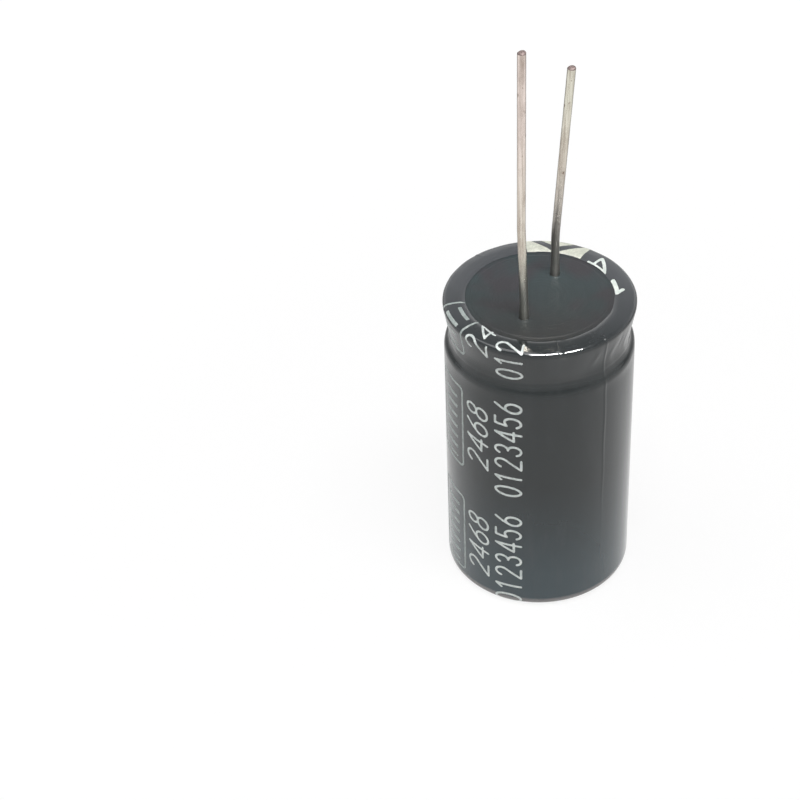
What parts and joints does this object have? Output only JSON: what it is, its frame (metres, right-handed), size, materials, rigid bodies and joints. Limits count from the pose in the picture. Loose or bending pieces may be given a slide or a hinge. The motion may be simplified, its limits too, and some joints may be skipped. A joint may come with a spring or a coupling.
{
  "type": "electrolytic capacitor",
  "caption": "Cylindrical radial electrolytic capacitor in a sleeved, beaded can, standing on its vent end with two wire leads up.",
  "frame": {"origin": "centre of the vent end, on the surface that the capacitor stands on, on the can's axis", "axes": "+Z along the can's axis from the vent end to the leads, and +X from the negative lead's side to the positive lead's side"},
  "size_m": [0.0184, 0.0184, 0.0603],
  "materials": {
    "bare_aluminium": "bright drawn aluminium, scored on the vent face",
    "sleeve_film": "glossy shrunk film, almost black",
    "stripe_ink": "pale grey-green ink under the film's gloss",
    "seal_rubber": "dark satin moulded rubber",
    "tinned_wire": "dull tinned wire",
    "tab_aluminium": "satin aluminium",
    "etched_foil": "matt etched foil",
    "plain_foil": "satin foil",
    "separator_paper": "soaked kraft paper",
    "winding_tape": "amber film tape"
  },
  "bodies": {
    "root": {"can": "bare_aluminium", "sleeve": "sleeve_film", "polarity_stripe": "stripe_ink", "end_seal": "seal_rubber", "positive_lead": "tinned_wire", "negative_lead": "tinned_wire", "positive_tab": "tab_aluminium", "negative_tab": "tab_aluminium", "anode_foil": "etched_foil", "cathode_foil": "plain_foil", "inner_separator": "separator_paper", "outer_separator": "separator_paper", "winding_tape": "winding_tape"}
  },
  "joints": []
}
